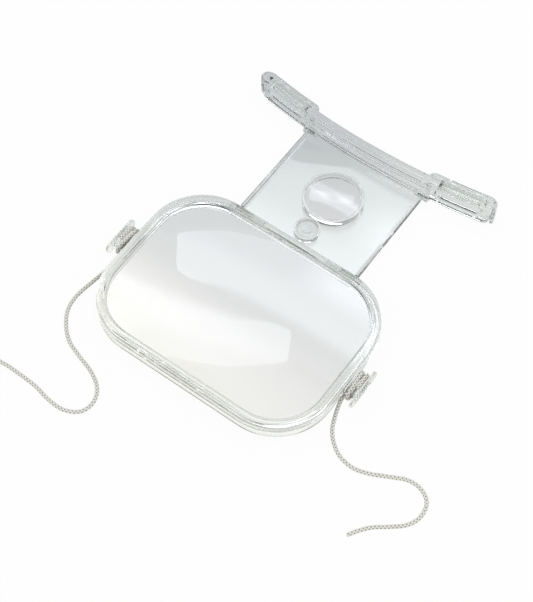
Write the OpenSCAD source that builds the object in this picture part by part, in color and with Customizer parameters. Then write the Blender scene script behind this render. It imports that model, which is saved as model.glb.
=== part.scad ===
// Neck magnifier. A large framed reading lens hangs on a cord round the neck, and a hinged plate
// with a padded bar props it off the chest. Millimetres, +Z up. The lens is at the front (-Y),
// the bar at the back (+Y), and the whole thing stands on a table on its frame and its bar.

/* [Lens frame] */
// Length of the frame, along X
frame_l = 146; // [130:1:170]
// Width of the frame, along Y
frame_w = 106; // [96:1:120]
// Radius of the frame's corners, seen from above
corner_r = 34; // [28:1:40]
// Thickness of the frame's wall
wall_t = 2.8; // [2.4:0.1:3.4]
// Height of the frame's wall, up to the bezel
wall_h = 8.4; // [8:0.1:9.4]
// How far the seat under the lens reaches in from the wall
seat_w = 3; // [2:0.1:4]
// Height of the seat's underside
seat_z = 3.2; // [2.6:0.1:3.4]

/* [Bezel] */
// Height of the bezel above the wall
bezel_h = 3.8; // [3:0.1:5]
// Step in from the wall to the bezel
bezel_step = 0.3; // [0.1:0.1:0.8]
// Width of the bezel, seen from above
bezel_w = 5.5; // [4.5:0.1:7]
// Size of the bevel on the bezel's outer edge
bezel_bevel = 1; // [0.4:0.1:1.4]
// Drop of the bezel's inner bevel
bezel_drop = 1.6; // [0.8:0.1:2]

/* [Main lens] */
// Height of the lens's flat lower face, which lies on the seat
lens_low = 5; // [4.6:0.1:5.4]
// Thickness of the lens at its centre
lens_t = 7.4; // [7:0.1:8.4]
// Radius of the lens's domed upper face
lens_top_r = 500; // [450:10:700]
// Gap round the lens's edge
lens_gap = 0.2; // [0.1:0.05:0.4]

/* [Support plate] */
// Width of the plate
plate_w = 79.6; // [70:0.2:86]
// Thickness of the plate
plate_t = 2.4; // [2:0.1:3]
// Distance from the frame's hinge to the bar's front, along the centre line
plate_l = 70.5; // [62:0.5:80]
// Gap between the plate's end and the bar
plate_gap = 1; // [0.8:0.1:1.6]
// Width of the raised lip on each side
lip_w = 1.8; // [1.2:0.1:2.6]
// Height of the lips above the plate
lip_h = 1.8; // [1:0.1:2.4]
// Distance of the lips' ends from the two hinges
lip_end = 4; // [3.6:0.1:8]

/* [Hinges] */
// Radius of the plate's barrels at the frame
barrel_r = 2.1; // [1.9:0.05:2.3]
// Length of each barrel at the frame
barrel_l = 18.8; // [12:0.2:22]
// Radius of the frame's ears
ear_r = 2.6; // [2.4:0.05:2.75]
// Length of each ear
ear_l = 4.4; // [3.4:0.1:6]
// Radius of the plate's barrels at the bar
end_barrel_r = 2; // [1.8:0.05:2.2]
// Length of each barrel at the bar
end_barrel_l = 5.8; // [4:0.2:8]
// Radius of the bar's lugs
lug_r = 2.3; // [2:0.05:2.7]
// Length of each lug
lug_l = 2.5; // [1.6:0.1:4]
// Diameter of the hinge pins
pin_d = 1.6; // [1.2:0.1:2]
// How far each frame pin reaches into its barrel
pin_grip = 9.8; // [6:0.2:11]
// How far each bar pin reaches into its barrel
end_pin_grip = 3.8; // [2.4:0.2:4]
// Clearance round a barrel in its hollow
barrel_gap = 0.3; // [0.2:0.05:0.4]
// Gap between a barrel and an ear or lug, along the axis
side_gap = 0.35; // [0.2:0.05:0.6]
// Ridges round each barrel at the frame
barrel_ridges = 6; // [2:1:8]

/* [Small lens] */
// Diameter of the small lens
small_d = 32.2; // [26:0.2:36]
// Distance from the frame's hinge to the small lens
small_y = 38; // [34:0.5:44]
// Wall of the collar round the small lens
collar_t = 1.4; // [1:0.1:2]
// Height of the collar above the plate
collar_h = 4.4; // [3:0.1:6]
// Radius of the small lens's face
small_r = 48; // [40:1:80]
// How far the small lens's face stands above its collar
small_rise = 0.8; // [0.2:0.1:1.6]
// Diameter of the frosted disc
disc_d = 13; // [8:0.5:15]
// Distance from the frame's hinge to the frosted disc
disc_y = 12.5; // [11:0.5:14]
// Height of the frosted disc and its collar above the plate
disc_h = 3; // [1.6:0.1:4]

/* [Chest bar] */
// Half of the bar's length, along X
bar_half = 78.3; // [70:0.5:90]
// Height of the bar
bar_h = 16.5; // [14:0.5:20]
// Thickness of the bar
bar_t = 5.3; // [4.6:0.1:6.4]
// Radius of the bar's front
bar_r = 444; // [360:2:560]
// Radius of the corners at the bar's ends
bar_corner = 5; // [2:0.5:7]
// Length of the window near each end
window_l = 28; // [20:0.5:32]
// Height of each window
window_h = 9.4; // [7:0.2:11]
// Distance of each window from the bar's end
window_end = 5.3; // [4:0.1:8]
// Lines moulded along the bar's front
bar_lines = 3; // [1:1:4]

/* [Pads] */
// Thickness of the soft pads
pad_t = 3.5; // [2.6:0.1:5]
// Radius of the pads' outer ends
pad_end_r = 7; // [5:0.2:9]
// How far the pads reach past the ends of the bar
pad_past = 2.1; // [1:0.1:3]
// How far the pads start before the windows
pad_before = 6.8; // [4:0.2:10]
// Depth of the window left in front of a pad's plug
plug_deep = 1; // [0.4:0.1:2]
// Depth of the fine ribs along the pads
rib_deep = 0.3; // [0.1:0.05:0.5]

/* [Cord and cleats] */
// Diameter of the cord
cord_d = 2.3; // [2:0.1:2.5]
// Length of the cleats' flanges
flange_l = 24; // [20:0.5:30]
// Height of the cleats' flanges
flange_h = 8; // [6:0.2:9]
// Thickness of the cleats' flanges
flange_t = 1.6; // [1.2:0.1:2.4]
// Distance from the frame's wall to a flange
cleat_reach = 7.4; // [7.4:0.1:9]
// Height of the middle of the cleats' cores
core_z = 5; // [4.6:0.1:5.4]
// Length of the flat part of a cleat's core
core_l = 10.2; // [8:0.2:14]
// Height of a cleat's core
core_h = 3.8; // [3:0.1:4]

/* [Hidden] */

// Faces of round work, and of the very large rounds: the lens faces and the bar's curve
$fn = 64;
fine = 360;

clear_tint = [0.87, 0.92, 0.93, 0.55];
lens_tint = [0.80, 0.88, 0.92, 0.45];
pad_tint = [0.82, 0.86, 0.85, 0.75];
disc_tint = [0.90, 0.90, 0.86, 0.85];
pin_tint = [0.78, 0.80, 0.80, 1];
cord_tint = [0.80, 0.80, 0.78, 1];

// Frame
corner_x = frame_l / 2 - corner_r;
corner_y = frame_w / 2 - corner_r;
bezel_z = wall_h + bezel_h;
bezel_in = bezel_step + bezel_w;
lens_high = lens_low + lens_t;
seated = 0.05; // gap between two pieces that rest on each other on a curved face
fit_gap = 0.1; // radial gap of a lens or a disc in its collar
pad_gap = 0.3; // gap round a pad's plug in its window
proud = 0.02; // radial gap of a pin that is pressed home
running = 0.05; // radial gap of a pin that turns
skin = 0.4; // material past the blind end of a pin's hole
ridge_w = 0.8; // width of a groove between two of a barrel's ridges
ridge_deep = 0.3;

// Frame hinge: its axis runs along X
hinge_y = frame_w / 2 - 1;
hinge_z = 2.8;
notch_x = plate_w / 2 + side_gap;
ear_end = notch_x + ear_l;
lug_end = notch_x + lug_l;
notch_r = barrel_r + barrel_gap;
notch_top = hinge_z + notch_r;
plate_z = hinge_z - plate_t / 2;
plate_top = plate_z + plate_t;
swing_z = 4; // the seat is cut to this height where the folded plate passes under the lens

// Bar: its front is an arc about a line parallel to Z
bar_y = hinge_y + plate_l;
arc_y = bar_y + bar_r;
back_r = bar_r - bar_t;
lug_y = bar_y + 0.7;
window_x = bar_half - window_end - window_l / 2;
plate_end_r = bar_r + plate_gap;
lip_back_y = lug_y - lip_end;

// Small lens and frosted disc
collar_r = small_d / 2 + fit_gap + collar_t;
small_seat = 1.2; // height of the small lens's foot above the plate's underside
disc_wall = 1; // wall of the frosted disc's ring

// Pads
pad_in = window_x - window_l / 2 - pad_before;
pad_face_r = back_r - seated;
cap_r = pad_face_r + pad_end_r - pad_t;
cap_x = bar_half + pad_past - pad_end_r;
cap_a = asin(cap_x / cap_r);
in_a = asin((pad_in + pad_t) / pad_face_r);
back_y = arc_y - cap_r * cos(cap_a) + pad_end_r;

// The row's origin is under the middle of the object
mid_y = (back_y - frame_w / 2) / 2;

// Cleats and windings, worked out on the +X side and mirrored
wall_x = frame_l / 2;
flange_x = wall_x + cleat_reach;
flange_up = 1; // the flanges' middle stands this much above the cores'
stop_l = 3; // length of the stop that the wound cord's end butts on
wind_gap = 0.15; // between the cord and what it is wound on
wind_r = core_h / 2 + wind_gap + cord_d / 2;
wind_half = core_l / 2;
lap = 2 * core_l + 2 * PI * wind_r;
lane_out = flange_x - wind_gap - cord_d / 2;
lane_in = wall_x + wind_gap + cord_d / 2;
start_y = 2.1 - wind_half; // the first turn starts here, on the core's top
wind_len = lap - (start_y + wind_half) + 2 * core_l + PI * wind_r + cord_d;
wind_steps = ceil(24 * wind_len / lap);
exit_y = -wind_half - cord_d;
exit_z = core_z - wind_r;

// The cord's ways over the table, from each cleat to its end. Only what lies past the winding
lay_z = cord_d / 2;
right_way = [
    [75, -13], [77, -19], [80, -26], [85, -32], [92, -36.5], [101, -38], [110, -35.5],
    [119, -31], [128, -27], [136, -27.5], [142, -32], [143.5, -40], [140.5, -47.5],
    [134, -53.5], [127, -59], [122, -65], [119, -70]
];
left_way = [
    [-75, -13], [-76, -22], [-77.5, -32], [-78.5, -42], [-77, -51], [-72, -59],
    [-64, -66], [-54, -70], [-43, -73.5], [-34, -79], [-30, -87], [-32, -95],
    [-40, -99.5], [-50, -99.5], [-61, -97.5], [-72, -97], [-82, -97], [-91, -98]
];

// The bodies are drawn about the lens's own centre and moved back together
module placed() translate([0, -mid_y, 0]) children();

// A ring round the lens. Each point of the profile is its inset from the frame's outside, and Z
module ring(profile) {
    for (i = [0 : 3])
        translate([(i == 0 || i == 3) ? corner_x : -corner_x, i < 2 ? corner_y : -corner_y, 0])
            rotate([0, 0, 90 * i])
                rotate_extrude(angle = 90)
                    polygon([for (p = profile) [corner_r - p[0], p[1]]]);
    for (turn = [0, 180])
        rotate([0, 0, turn]) rotate([90, 0, 0])
            linear_extrude(2 * corner_y, center = true)
                polygon([for (p = profile) [frame_l / 2 - p[0], p[1]]]);
    for (turn = [90, 270])
        rotate([0, 0, turn]) rotate([90, 0, 0])
            linear_extrude(2 * corner_x, center = true)
                polygon([for (p = profile) [frame_w / 2 - p[0], p[1]]]);
}

// A block with four rounded upright edges, centred on the Z axis
module rounded_block(half_x, half_y, r, low, high) {
    for (i = [0 : 3])
        translate([(i == 0 || i == 3) ? half_x - r : r - half_x, i < 2 ? half_y - r : r - half_y, low])
            rotate([0, 0, 90 * i]) rotate_extrude(angle = 90) square([r, high - low]);
    translate([-half_x, -(half_y - r), low]) cube([2 * half_x, 2 * (half_y - r), high - low]);
    translate([-(half_x - r), -half_y, low]) cube([2 * (half_x - r), 2 * half_y, high - low]);
}

// Everything below the lens's upper face
module below_top_face(gap) {
    translate([0, 0, lens_high + gap - lens_top_r]) sphere(r = lens_top_r, $fn = fine);
}

// A rod along X on the side that s names, from one distance to the other
module rod(s, y, z, near, far, r) {
    translate([s * near, y, z]) rotate([0, s * 90, 0]) cylinder(h = far - near, r = r);
}

// A block between two distances from the centre line on both sides, from y and z up
module slot(half_x, y_low, y_high, z_low, z_high) {
    translate([-half_x, y_low, z_low]) cube([2 * half_x, y_high - y_low, z_high - z_low]);
}

// The frame: a wall round the lens, a seat under it and two ears for the hinge
module lens_frame() color(clear_tint) placed() difference() {
    union() {
        ring([
            [0, 0], [0, wall_h], [wall_t, wall_h], [wall_t, lens_low],
            [wall_t + seat_w, lens_low], [wall_t + seat_w, seat_z], [wall_t, seat_z], [wall_t, 0]
        ]);
        for (s = [-1, 1]) rod(s, hinge_y, hinge_z, notch_x, ear_end, ear_r);
    }
    rod(1, hinge_y, hinge_z, -notch_x, notch_x, notch_r);
    slot(notch_x, hinge_y, frame_w / 2 + 4, -1, notch_top);
    slot(notch_x, hinge_y - notch_r, frame_w / 2 + 4, -1, hinge_z);
    slot(notch_x, frame_w / 2 - wall_t - seat_w - 1, frame_w / 2 - wall_t, -1, swing_z);
    for (s = [-1, 1]) rod(s, hinge_y, hinge_z, notch_x - 0.1, ear_end - skin, pin_d / 2 + proud);
}

// The bezel: a bevelled cover ring on the wall, with a lip that holds the lens down
module bezel() color(clear_tint) placed() difference() {
    ring([
        [bezel_step, wall_h], [bezel_step, bezel_z - bezel_bevel],
        [bezel_step + bezel_bevel, bezel_z], [bezel_in - bezel_drop, bezel_z - 0.2],
        [bezel_in, bezel_z - bezel_drop - 0.2], [bezel_in, wall_h - 2.4],
        [wall_t + lens_gap - seated, wall_h - 2.4], [wall_t + lens_gap - seated, wall_h]
    ]);
    intersection() {
        rounded_block(frame_l / 2 - wall_t, frame_w / 2 - wall_t, corner_r - wall_t, 0, bezel_z + 1);
        below_top_face(seated);
    }
}

// The main lens: a rounded oblong, flat below and domed above
module main_lens() color(lens_tint) placed() intersection() {
    inset = wall_t + lens_gap;
    rounded_block(frame_l / 2 - inset, frame_w / 2 - inset, corner_r - inset, lens_low, bezel_z + 2);
    below_top_face(0);
}

// A cleat on the end of the frame: a core for the cord, a stop that its end butts on, and a
// ribbed flange outside it
module cleat(s) color(clear_tint) placed() mirror([s < 0 ? 1 : 0, 0, 0]) difference() {
    union() {
        translate([0, 0, core_z]) rotate([0, 90, 0])
            rounded_block(core_h / 2, (core_l + core_h) / 2, core_h / 2 - 0.1, wall_x, flange_x + 0.2);
        translate([0, 0, core_z + flange_up]) rotate([0, 90, 0])
            rounded_block(flange_h / 2, flange_l / 2, flange_h / 2 - 0.4, flange_x, flange_x + flange_t);
        translate([lane_out - cord_d / 2, start_y - stop_l, core_z])
            cube([flange_x - lane_out + cord_d / 2 + 0.2, stop_l, wind_r + cord_d / 2]);
    }
    for (y = [-flange_l / 2 + 3 : 2 : flange_l / 2 - 3])
        translate([flange_x + flange_t - 0.4, y - 0.35, 0]) cube([1, 0.7, 3 * core_z]);
}
module left_cleat() cleat(-1);
module right_cleat() cleat(1);

// Y and height over the core's middle, at a distance u round the lap that the cord's centre
// makes: along the core's top to +Y, round its end, back along its underside and round again
function lap_point(u) =
    u < core_l ? [u - wind_half, wind_r]
    : u < core_l + PI * wind_r ? [wind_half, 0] + wind_r * round_turn(u - core_l)
    : u < 2 * core_l + PI * wind_r ? [wind_half - (u - core_l - PI * wind_r), -wind_r]
    : [-wind_half, 0] - wind_r * round_turn(u - 2 * core_l - PI * wind_r);
function round_turn(u) = [sin(u / wind_r * 180 / PI), cos(u / wind_r * 180 / PI)];

// The wound cord's centre at the length s. It steps in from the flange to the wall at a steady
// rate, and runs straight for one diameter at both ends
function wound(s) =
    let (
        drift = min(max((s - cord_d) / (wind_len - 2 * cord_d), 0), 1),
        last = wind_len - cord_d,
        yz = s > last ? [-wind_half - (s - last), -wind_r]
            : lap_point((s + start_y + wind_half) % lap)
    )
    [lane_out + (lane_in - lane_out) * drift, yz[0], core_z + yz[1]];
wound_path = [for (i = [0 : wind_steps]) wound(wind_len * i / wind_steps)];

// The winding's least gap to itself: no two of its points half a lap apart come nearer
half_lap = ceil(wind_steps * lap / wind_len / 2);
least_gap = min([
    for (i = [0 : wind_steps - half_lap]) for (j = [i + half_lap : wind_steps])
        norm(wound_path[i] - wound_path[j]) - cord_d
]);
echo(least_gap = least_gap);

// A tube along a path: one ring of vertices square to the path at each of its points. The hint
// is a direction that is never along the path
function unit(v) = v / norm(v);
function heading(path, i) = unit(path[min(i + 1, len(path) - 1)] - path[max(i - 1, 0)]);
module tube(path, sides, hint) {
    last = len(path) - 1;
    points = [
        for (i = [0 : last])
            let (
                ahead = heading(path, i),
                across = unit(hint - (hint * ahead) * ahead),
                over = cross(ahead, across)
            )
            for (k = [0 : sides - 1])
                path[i] + cord_d / 2 * (cos(360 * k / sides) * across + sin(360 * k / sides) * over)
    ];
    walls = [
        for (i = [0 : last - 1]) for (k = [0 : sides - 1])
            let (
                a = i * sides + k,
                b = i * sides + (k + 1) % sides
            )
            each [[a, b + sides, b], [a, a + sides, b + sides]]
    ];
    caps = [
        for (k = [1 : sides - 2])
            each [[0, k, k + 1], [last * sides, last * sides + k + 1, last * sides + k]]
    ];
    polyhedron(points, concat(walls, caps));
}

module winding(s) color(cord_tint) placed() mirror([s < 0 ? 1 : 0, 0, 0])
    tube(wound_path, 6, [1, 0, 0]);
module left_winding() winding(-1);
module right_winding() winding(1);

// A free cord leaves its winding straight, drops to the table and runs on along its way
function curve(p, i, t) =
    let (
        a = p[max(i - 1, 0)],
        b = p[i],
        c = p[i + 1],
        d = p[min(i + 2, len(p) - 1)]
    )
    0.5 * (2 * b + (c - a) * t + (2 * a - 5 * b + 4 * c - d) * t ^ 2 + (3 * b - a - 3 * c + d) * t ^ 3);
function smoothed(p) = [for (i = [0 : len(p) - 2]) for (t = [0, 0.5]) curve(p, i, t), p[len(p) - 1]];
function free_path(s, way) = smoothed(concat(
    [[s * lane_in, exit_y, exit_z], [s * lane_in, exit_y - cord_d, exit_z]],
    [for (p = way) [p[0], p[1], lay_z]]
));
function path_length(p) = len(p) < 2 ? 0
    : norm(p[1] - p[0]) + path_length([for (i = [1 : len(p) - 1]) p[i]]);
echo(left_cord_length = path_length(free_path(-1, left_way)));
echo(right_cord_length = path_length(free_path(1, right_way)));
module left_cord() color(cord_tint) placed() tube(free_path(-1, left_way), 8, [0, 0, 1]);
module right_cord() color(cord_tint) placed() tube(free_path(1, right_way), 8, [0, 0, 1]);

// A pin pressed into an ear of the frame. It turns in the plate's barrel
module frame_pin(s) color(pin_tint) placed()
    rod(s, hinge_y, hinge_z, plate_w / 2 - pin_grip, ear_end - skin - seated, pin_d / 2);
module left_frame_pin() frame_pin(-1);
module right_frame_pin() frame_pin(1);

// One of the plate's two ridged barrels at the frame
module barrel(s) difference() {
    rod(s, hinge_y, hinge_z, plate_w / 2 - barrel_l, plate_w / 2, barrel_r);
    for (k = [1 : barrel_ridges - 1])
        let (x = plate_w / 2 - barrel_l * k / barrel_ridges)
        difference() {
            rod(s, hinge_y, hinge_z, x - ridge_w / 2, x + ridge_w / 2, barrel_r + 1);
            rod(s, hinge_y, hinge_z, x - ridge_w, x + ridge_w, barrel_r - ridge_deep);
        }
}

// The plate: a flat sheet with a lip along each side, barrels at both hinges, a round hole for
// the small lens's collar and a raised ring for the frosted disc
module support_plate() color(clear_tint) placed() difference() {
    union() {
        difference() {
            union() {
                slot(plate_w / 2, hinge_y, bar_y + bar_t, plate_z, plate_top);
                for (s = [-1, 1])
                    translate([s * (plate_w - lip_w) / 2 - lip_w / 2, hinge_y + lip_end, plate_top - 0.2])
                        cube([lip_w, lip_back_y - hinge_y - lip_end, lip_h + 0.2]);
                translate([0, hinge_y + disc_y, plate_top - 0.2])
                    cylinder(r = disc_d / 2 + fit_gap + disc_wall, h = disc_h + 0.2);
            }
            translate([0, arc_y, -1]) cylinder(r = plate_end_r, h = bar_h, $fn = fine);
            translate([0, hinge_y + small_y, -1]) cylinder(r = collar_r + seated, h = bar_h);
            translate([0, hinge_y + disc_y, plate_top]) cylinder(r = disc_d / 2 + fit_gap, h = bar_h);
        }
        for (s = [-1, 1]) {
            barrel(s);
            rod(s, lug_y, hinge_z, plate_w / 2 - end_barrel_l, plate_w / 2, end_barrel_r);
        }
    }
    for (s = [-1, 1]) {
        rod(s, hinge_y, hinge_z, plate_w / 2 - pin_grip - 0.3, plate_w / 2 + 1, pin_d / 2 + running);
        rod(s, lug_y, hinge_z, plate_w / 2 - end_pin_grip, plate_w / 2 + 1, pin_d / 2 + proud);
    }
}

// The small lens's collar: a short tube let into the plate, with a seat inside its foot
module lens_collar() color(clear_tint) placed() translate([0, hinge_y + small_y, plate_z])
    difference() {
        cylinder(r = collar_r, h = plate_t + collar_h);
        translate([0, 0, small_seat]) cylinder(r = small_d / 2 + fit_gap, h = bar_h);
        translate([0, 0, -1]) cylinder(r = small_d / 2 - 1.2, h = bar_h);
    }

// The small lens: flat below and domed above
module small_lens() color(lens_tint) placed() translate([0, hinge_y + small_y, plate_z])
    intersection() {
        translate([0, 0, small_seat + seated]) cylinder(r = small_d / 2, h = bar_h);
        translate([0, 0, plate_t + collar_h + small_rise - small_r]) sphere(r = small_r, $fn = fine);
    }

// The frosted disc: a plain disc with a raised rim and a low button in the middle
module frosted_disc() color(disc_tint) placed() translate([0, hinge_y + disc_y, plate_top])
    difference() {
        cylinder(r = disc_d / 2, h = disc_h - 0.4);
        translate([0, 0, disc_h - 0.8]) difference() {
            cylinder(r = disc_d / 2 - 0.9, h = 1);
            translate([0, 0, -1]) cylinder(r = disc_d / 5, h = 3);
        }
    }

// A pin pressed into the plate's barrel at the bar. It turns in the bar's lug
module bar_pin(s) color(pin_tint) placed()
    rod(s, lug_y, hinge_z, plate_w / 2 - end_pin_grip, lug_end - skin - seated, pin_d / 2);
module left_bar_pin() bar_pin(-1);
module right_bar_pin() bar_pin(1);

// Part of a ring about the upright line that the bar bends round, as far as half to each side
module arc_slab(inner, outer, low, high, half) {
    a = asin(half / outer);
    translate([0, arc_y, low]) rotate([0, 0, -90 - a])
        rotate_extrude(angle = 2 * a, $fn = fine)
            translate([inner, 0]) square([outer - inner, high - low]);
}

// An oblong with round corners as seen from the front, deep enough to cut through the bar
module front_block(x, half_x, half_z, r) {
    translate([x, 0, bar_h / 2]) rotate([90, 0, 0])
        rounded_block(half_x, half_z, r, -back_y - bar_t, bar_t - bar_y);
}

// The bar: a curved strip with a window near each end, lines along its front, and the lugs and
// hollows of its hinge
module chest_bar() color(clear_tint) placed() difference() {
    union() {
        intersection() {
            arc_slab(back_r, bar_r, 0, bar_h, bar_half + 5);
            front_block(0, bar_half, bar_h / 2, bar_corner);
        }
        for (s = [-1, 1]) rod(s, lug_y, hinge_z, notch_x, lug_end, lug_r);
    }
    for (s = [-1, 1]) {
        rod(s, lug_y, hinge_z, plate_w / 2 - end_barrel_l - side_gap, notch_x,
            end_barrel_r + barrel_gap);
        rod(s, lug_y, hinge_z, notch_x - 0.1, lug_end - skin, pin_d / 2 + running);
        front_block(s * window_x, window_l / 2, window_h / 2, window_h / 2 - 0.7);
    }
    for (k = [0 : bar_lines - 1])
        let (z = hinge_z + lug_r + 2 + k * (bar_h - hinge_z - lug_r - 4) / max(bar_lines - 1, 1))
        arc_slab(bar_r - 0.5, bar_r + 1, z - 0.6, z + 0.6, window_x - window_l / 2 - 3);
}

// The pads' profile: distance behind the bar's back and height, with a crowned back, rounded
// edges and fine ribs along the back and the top
pad_low = 0.3;
ribs = 16;
function crown(z) = pad_t - 0.4 * ((2 * z - bar_h - pad_low) / (bar_h - pad_low)) ^ 2;
function pad_profile(front) = concat(
    [[front, pad_low], [pad_t - 1.6, pad_low], [pad_t - 0.7, pad_low + 0.6]],
    [
        for (k = [0 : ribs])
            let (z = pad_low + 1.4 + (bar_h - pad_low - 2.8) * k / ribs)
            [crown(z) - (k % 2) * rib_deep, z]
    ],
    [[pad_t - 0.7, bar_h - 0.6]],
    [for (k = [0 : 5]) [(pad_t - 1.6) * (1 - k / 5), bar_h - (k % 2) * rib_deep]],
    front < 0 ? [[front, bar_h]] : []
);

// The pads' outline from above: a strip with round ends, cut a little outside the pads' back
module pad_plan() {
    translate([pad_in + pad_t, bar_y, -1]) cube([cap_x - pad_in - pad_t, back_y - bar_y + 5, bar_h + 2]);
    translate([cap_x, arc_y - cap_r * cos(cap_a) + 0.1, -1]) cylinder(r = pad_end_r, h = bar_h + 2);
    translate([pad_in + pad_t, arc_y - pad_face_r * cos(in_a) + 0.1, -1])
        cylinder(r = pad_t, h = bar_h + 2);
}

// A pad: a soft strip behind the bar's end that wraps its tip, with a plug through the window
module pad(s) color(pad_tint) placed() mirror([s < 0 ? 1 : 0, 0, 0]) union() {
    difference() {
        intersection() {
            translate([0, arc_y, 0]) rotate([0, 0, -86])
                rotate_extrude(angle = 8, $fn = fine)
                    polygon([for (p = pad_profile(pad_t - pad_end_r)) [pad_face_r - p[0], p[1]]]);
            pad_plan();
        }
        intersection() {
            arc_slab(pad_face_r, bar_r + 2, -1, bar_h + 1, bar_half + 9);
            slot(bar_half + seated, bar_y, back_y + 1, -1, bar_h + 1);
        }
    }
    intersection() {
        arc_slab(pad_face_r - 1, bar_r - plug_deep, 0, bar_h, bar_half);
        front_block(window_x, window_l / 2 - pad_gap, window_h / 2 - pad_gap,
            window_h / 2 - 0.7 - pad_gap);
    }
}
module left_pad() pad(-1);
module right_pad() pad(1);

lens_frame();
bezel();
main_lens();
left_cleat();
right_cleat();
left_winding();
right_winding();
left_cord();
right_cord();
left_frame_pin();
right_frame_pin();
support_plate();
lens_collar();
small_lens();
frosted_disc();
left_bar_pin();
right_bar_pin();
chest_bar();
left_pad();
right_pad();
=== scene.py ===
"""Looks of the neck magnifier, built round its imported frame.

Every piece is worked out in millimetres round the main lens's own centre, as the part's source
draws it, and goes to the row's metres in one step. Nothing moves a CAD node.
"""
import math

import bmesh
import bpy
import numpy as np
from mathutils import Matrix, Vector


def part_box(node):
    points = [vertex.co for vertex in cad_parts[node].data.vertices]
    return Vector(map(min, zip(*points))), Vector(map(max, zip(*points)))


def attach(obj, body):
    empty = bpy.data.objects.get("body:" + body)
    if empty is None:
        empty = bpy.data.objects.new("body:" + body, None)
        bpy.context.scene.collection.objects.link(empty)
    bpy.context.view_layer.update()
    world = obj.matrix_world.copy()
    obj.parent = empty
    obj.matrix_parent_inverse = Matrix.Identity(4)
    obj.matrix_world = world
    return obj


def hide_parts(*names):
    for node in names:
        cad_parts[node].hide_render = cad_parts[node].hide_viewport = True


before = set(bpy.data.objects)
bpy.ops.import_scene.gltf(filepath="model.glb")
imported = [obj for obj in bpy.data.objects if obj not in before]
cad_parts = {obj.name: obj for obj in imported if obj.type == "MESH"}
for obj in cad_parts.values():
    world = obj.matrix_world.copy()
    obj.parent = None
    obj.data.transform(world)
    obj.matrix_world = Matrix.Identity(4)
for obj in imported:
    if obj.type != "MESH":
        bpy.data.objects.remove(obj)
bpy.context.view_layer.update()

bl_info = {
    "name": "Neck magnifier",
    "version": (1, 0, 0),
    "blender": (4, 5, 0),
    "location": "View3D > Sidebar > Magnifier",
    "description": "Builds the visible pieces of a hands-free reading magnifier",
    "category": "Object",
}

MM = 0.001
SIDES = ((-1, "left"), (1, "right"))


# Sizes of the part, in millimetres
# The main lens's middle lies this far from the row's origin along Y
lens_low, lens_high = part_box("main_lens")
MID = (lens_low.y + lens_high.y) / 2 / MM
CORNER_X, CORNER_Y, CORNER_R = 39.0, 19.0, 34.0
WALL_T, WALL_H, SEAT_LOW, SEAT_TOP, SEAT_IN = 2.8, 8.4, 3.2, 5.0, 5.8
HINGE_Y, HINGE_Z, BORE_R = 52.0, 2.8, 0.82
NOTCH_X, NOTCH_R, EAR_END, EAR_R = 40.15, 2.4, 44.55, 2.6
LENS_IN, BELLY_IN = 3.0, 5.95
# The lens's lowest point, high enough that the plate folds under it
LENS_BELLY = 1.75
PLATE_HALF, PLATE_LOW, PLATE_TOP, PLATE_END_R = 39.8, 1.6, 4.0, 445.0
BARREL_IN, BARREL_L, BARREL_R, RIDGES = 21.0, 18.8, 2.1, 6
LIP_IN, LIP_OUT, LIP_LOW, LIP_TOP = 38.0, 39.78, 3.8, 5.8
SMALL_Y, SMALL_R, SMALL_LEDGE = 90.0, 16.1, 14.7
SMALL_TOP, SMALL_TOP_R, SMALL_LOW, SMALL_LOW_R = 9.2, 105.0, 2.38, 230.0
COLLAR_R, COLLAR_TOP, HOLE_R, DISC_Y, DISC_R = 17.6, 8.4, 17.65, 64.5, 6.5
LUG_Y, LUG_R = 123.2, 2.3
ARC_Y, BAR_R, BAR_T, BAR_H, BAR_HALF, BAR_CORNER = 566.5, 444.0, 5.3, 16.5, 78.3, 5.0
WINDOW_X, WINDOW_HALF, WINDOW_RISE, WINDOW_R, WINDOW_EASE = 59.0, 14.0, 4.7, 4.0, 0.45
PAD_LOW, PAD_T, PAD_EASE, PAD_NEAR, PAD_BEND, PAD_END = 0.3, 3.5, 1.5, 41.7, 73.4, 78.38
WALL_X, FLANGE_X, FLANGE_T, FLANGE_Z, FLANGE_HALF = 73.0, 80.4, 1.6, 6.0, 12.0
FLANGE_RISE, FLANGE_R = 4.0, 3.6
STOP_IN, STOP_OUT, STOP_NEAR, STOP_FAR, STOP_TOP = 77.95, 80.6, -6.05, -3.05, 9.35
CORE_Z, CORE_L, CORE_END = 5.0, 10.2, 81.2
CORD_D, WIND_R, LANE_OUT, LANE_IN = 2.3, 3.2, 79.1, 74.3
LAY_Z = CORD_D / 2
# The photograph's view, from a camera fitted to it
VIEW_TURN, VIEW_RISE, VIEW_PLACE = 35.993, 59.66, (244.34, -310.33, 690.39)
FOCAL_PX, PHOTO_PX, SENSOR_MM = 1466.0, 533.0, 36.0
# Painted shade on the floor: greys from the far left to the near right, where the table's light
# falls off towards the back
# And the sky's greys, from straight down to straight up
FLOOR_SHADE_STOPS = [
    (0.0, "#CED1D4"), (0.06, "#D1D4D6"), (0.12, "#DADDDD"), (0.3, "#E4E6E6"), (0.43, "#E6E9E9"),
    (0.54, "#E8EBE9"), (0.59, "#F0F1EF"), (0.625, "#F8F8F5"), (0.7, "#FFFFFB"), (0.8, "#FFFEF6"),
]
SKY_STOPS = [
    (0.0, "#FFFFFF"), (0.1, "#F2F3F0"), (0.25, "#C8CBC7"), (0.6, "#C4C6C3"), (0.85, "#A9AAA8"),
    (0.95, "#6E6C69"), (1.0, "#5E5A55"),
]
# How the bar's ends are eased: distances from the end, and insets there
RIM_STEPS = np.array([0.8, 0.6, 0.42, 0.26, 0.14, 0.05, 0.0, 0.0])
RIM_INSETS = np.array([0.0, 0.03, 0.1, 0.2, 0.33, 0.5, 0.8, 9.0])
# Heights of the V grooves along the bar's front
GROOVES = np.array([7.4, 9.5, 11.6, 13.6])
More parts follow.
